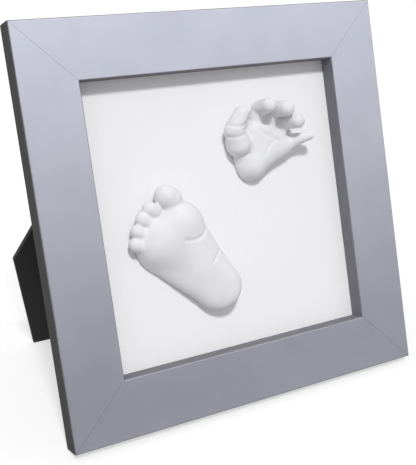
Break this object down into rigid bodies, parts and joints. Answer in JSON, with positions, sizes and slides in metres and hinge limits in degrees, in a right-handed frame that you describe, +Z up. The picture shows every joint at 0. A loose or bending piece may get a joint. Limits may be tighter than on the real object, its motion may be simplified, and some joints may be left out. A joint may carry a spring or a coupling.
{
  "type": "baby cast picture frame",
  "caption": "Leaning square table frame with a deep recess that shows plaster casts of a baby's foot and hand, held up by a folding easel strut.",
  "frame": {"origin": "middle of the standing frame's footprint, on the table", "axes": "+X to the right as seen from the front, +Y to the back, +Z up; the frame leans back"},
  "size_m": [0.24, 0.1414, 0.2316],
  "materials": {
    "silver_moulding": "satin silver foil on fibreboard",
    "white_card": "matt white",
    "plaster": "matt cast plaster",
    "black_board": "black hardboard",
    "zinc_steel": "zinc plated",
    "adhesive": "foam adhesive"
  },
  "bodies": {
    "frame": {"rail_bottom": "silver_moulding", "rail_right": "silver_moulding", "rail_top": "silver_moulding", "rail_left": "silver_moulding", "corner_v_nails": "zinc_steel", "display_board": "white_card", "foot_cast": "plaster", "hand_cast": "plaster", "foot_glue_pads": "adhesive", "hand_glue_pads": "adhesive", "back_board": "black_board", "board_rivets": "zinc_steel", "turn_button_screws": "zinc_steel", "hinge_left_fixed_leaf": "zinc_steel", "hinge_left_pin": "zinc_steel", "hinge_right_fixed_leaf": "zinc_steel", "hinge_right_pin": "zinc_steel"},
    "strut": {"strut": "black_board", "strut_rivets": "zinc_steel", "hinge_left_moving_leaf": "zinc_steel", "hinge_right_moving_leaf": "zinc_steel"},
    "button_bottom": {"turn_button_bottom": "zinc_steel"},
    "button_right": {"turn_button_right": "zinc_steel"},
    "button_top": {"turn_button_top": "zinc_steel"},
    "button_left": {"turn_button_left": "zinc_steel"}
  },
  "joints": [
    {"name": "strut_fold", "type": "hinge", "parent": "frame", "child": "strut", "pos_m": [0, 0.00715, 0.17897], "axis": [-1, 0, 0], "range_deg": [0, 37]},
    {"name": "button_bottom_turn", "type": "hinge", "parent": "frame", "child": "button_bottom", "pos_m": [0, -0.05056, 0.01796], "axis": [0, 0.9455, -0.3256], "continuous": true},
    {"name": "button_right_turn", "type": "hinge", "parent": "frame", "child": "button_right", "pos_m": [0.101, -0.01768, 0.11346], "axis": [0, 0.9455, -0.3256], "continuous": true},
    {"name": "button_top_turn", "type": "hinge", "parent": "frame", "child": "button_top", "pos_m": [0, 0.0152, 0.20896], "axis": [0, 0.9455, -0.3256], "continuous": true},
    {"name": "button_left_turn", "type": "hinge", "parent": "frame", "child": "button_left", "pos_m": [-0.101, -0.01768, 0.11346], "axis": [0, 0.9455, -0.3256], "continuous": true}
  ]
}
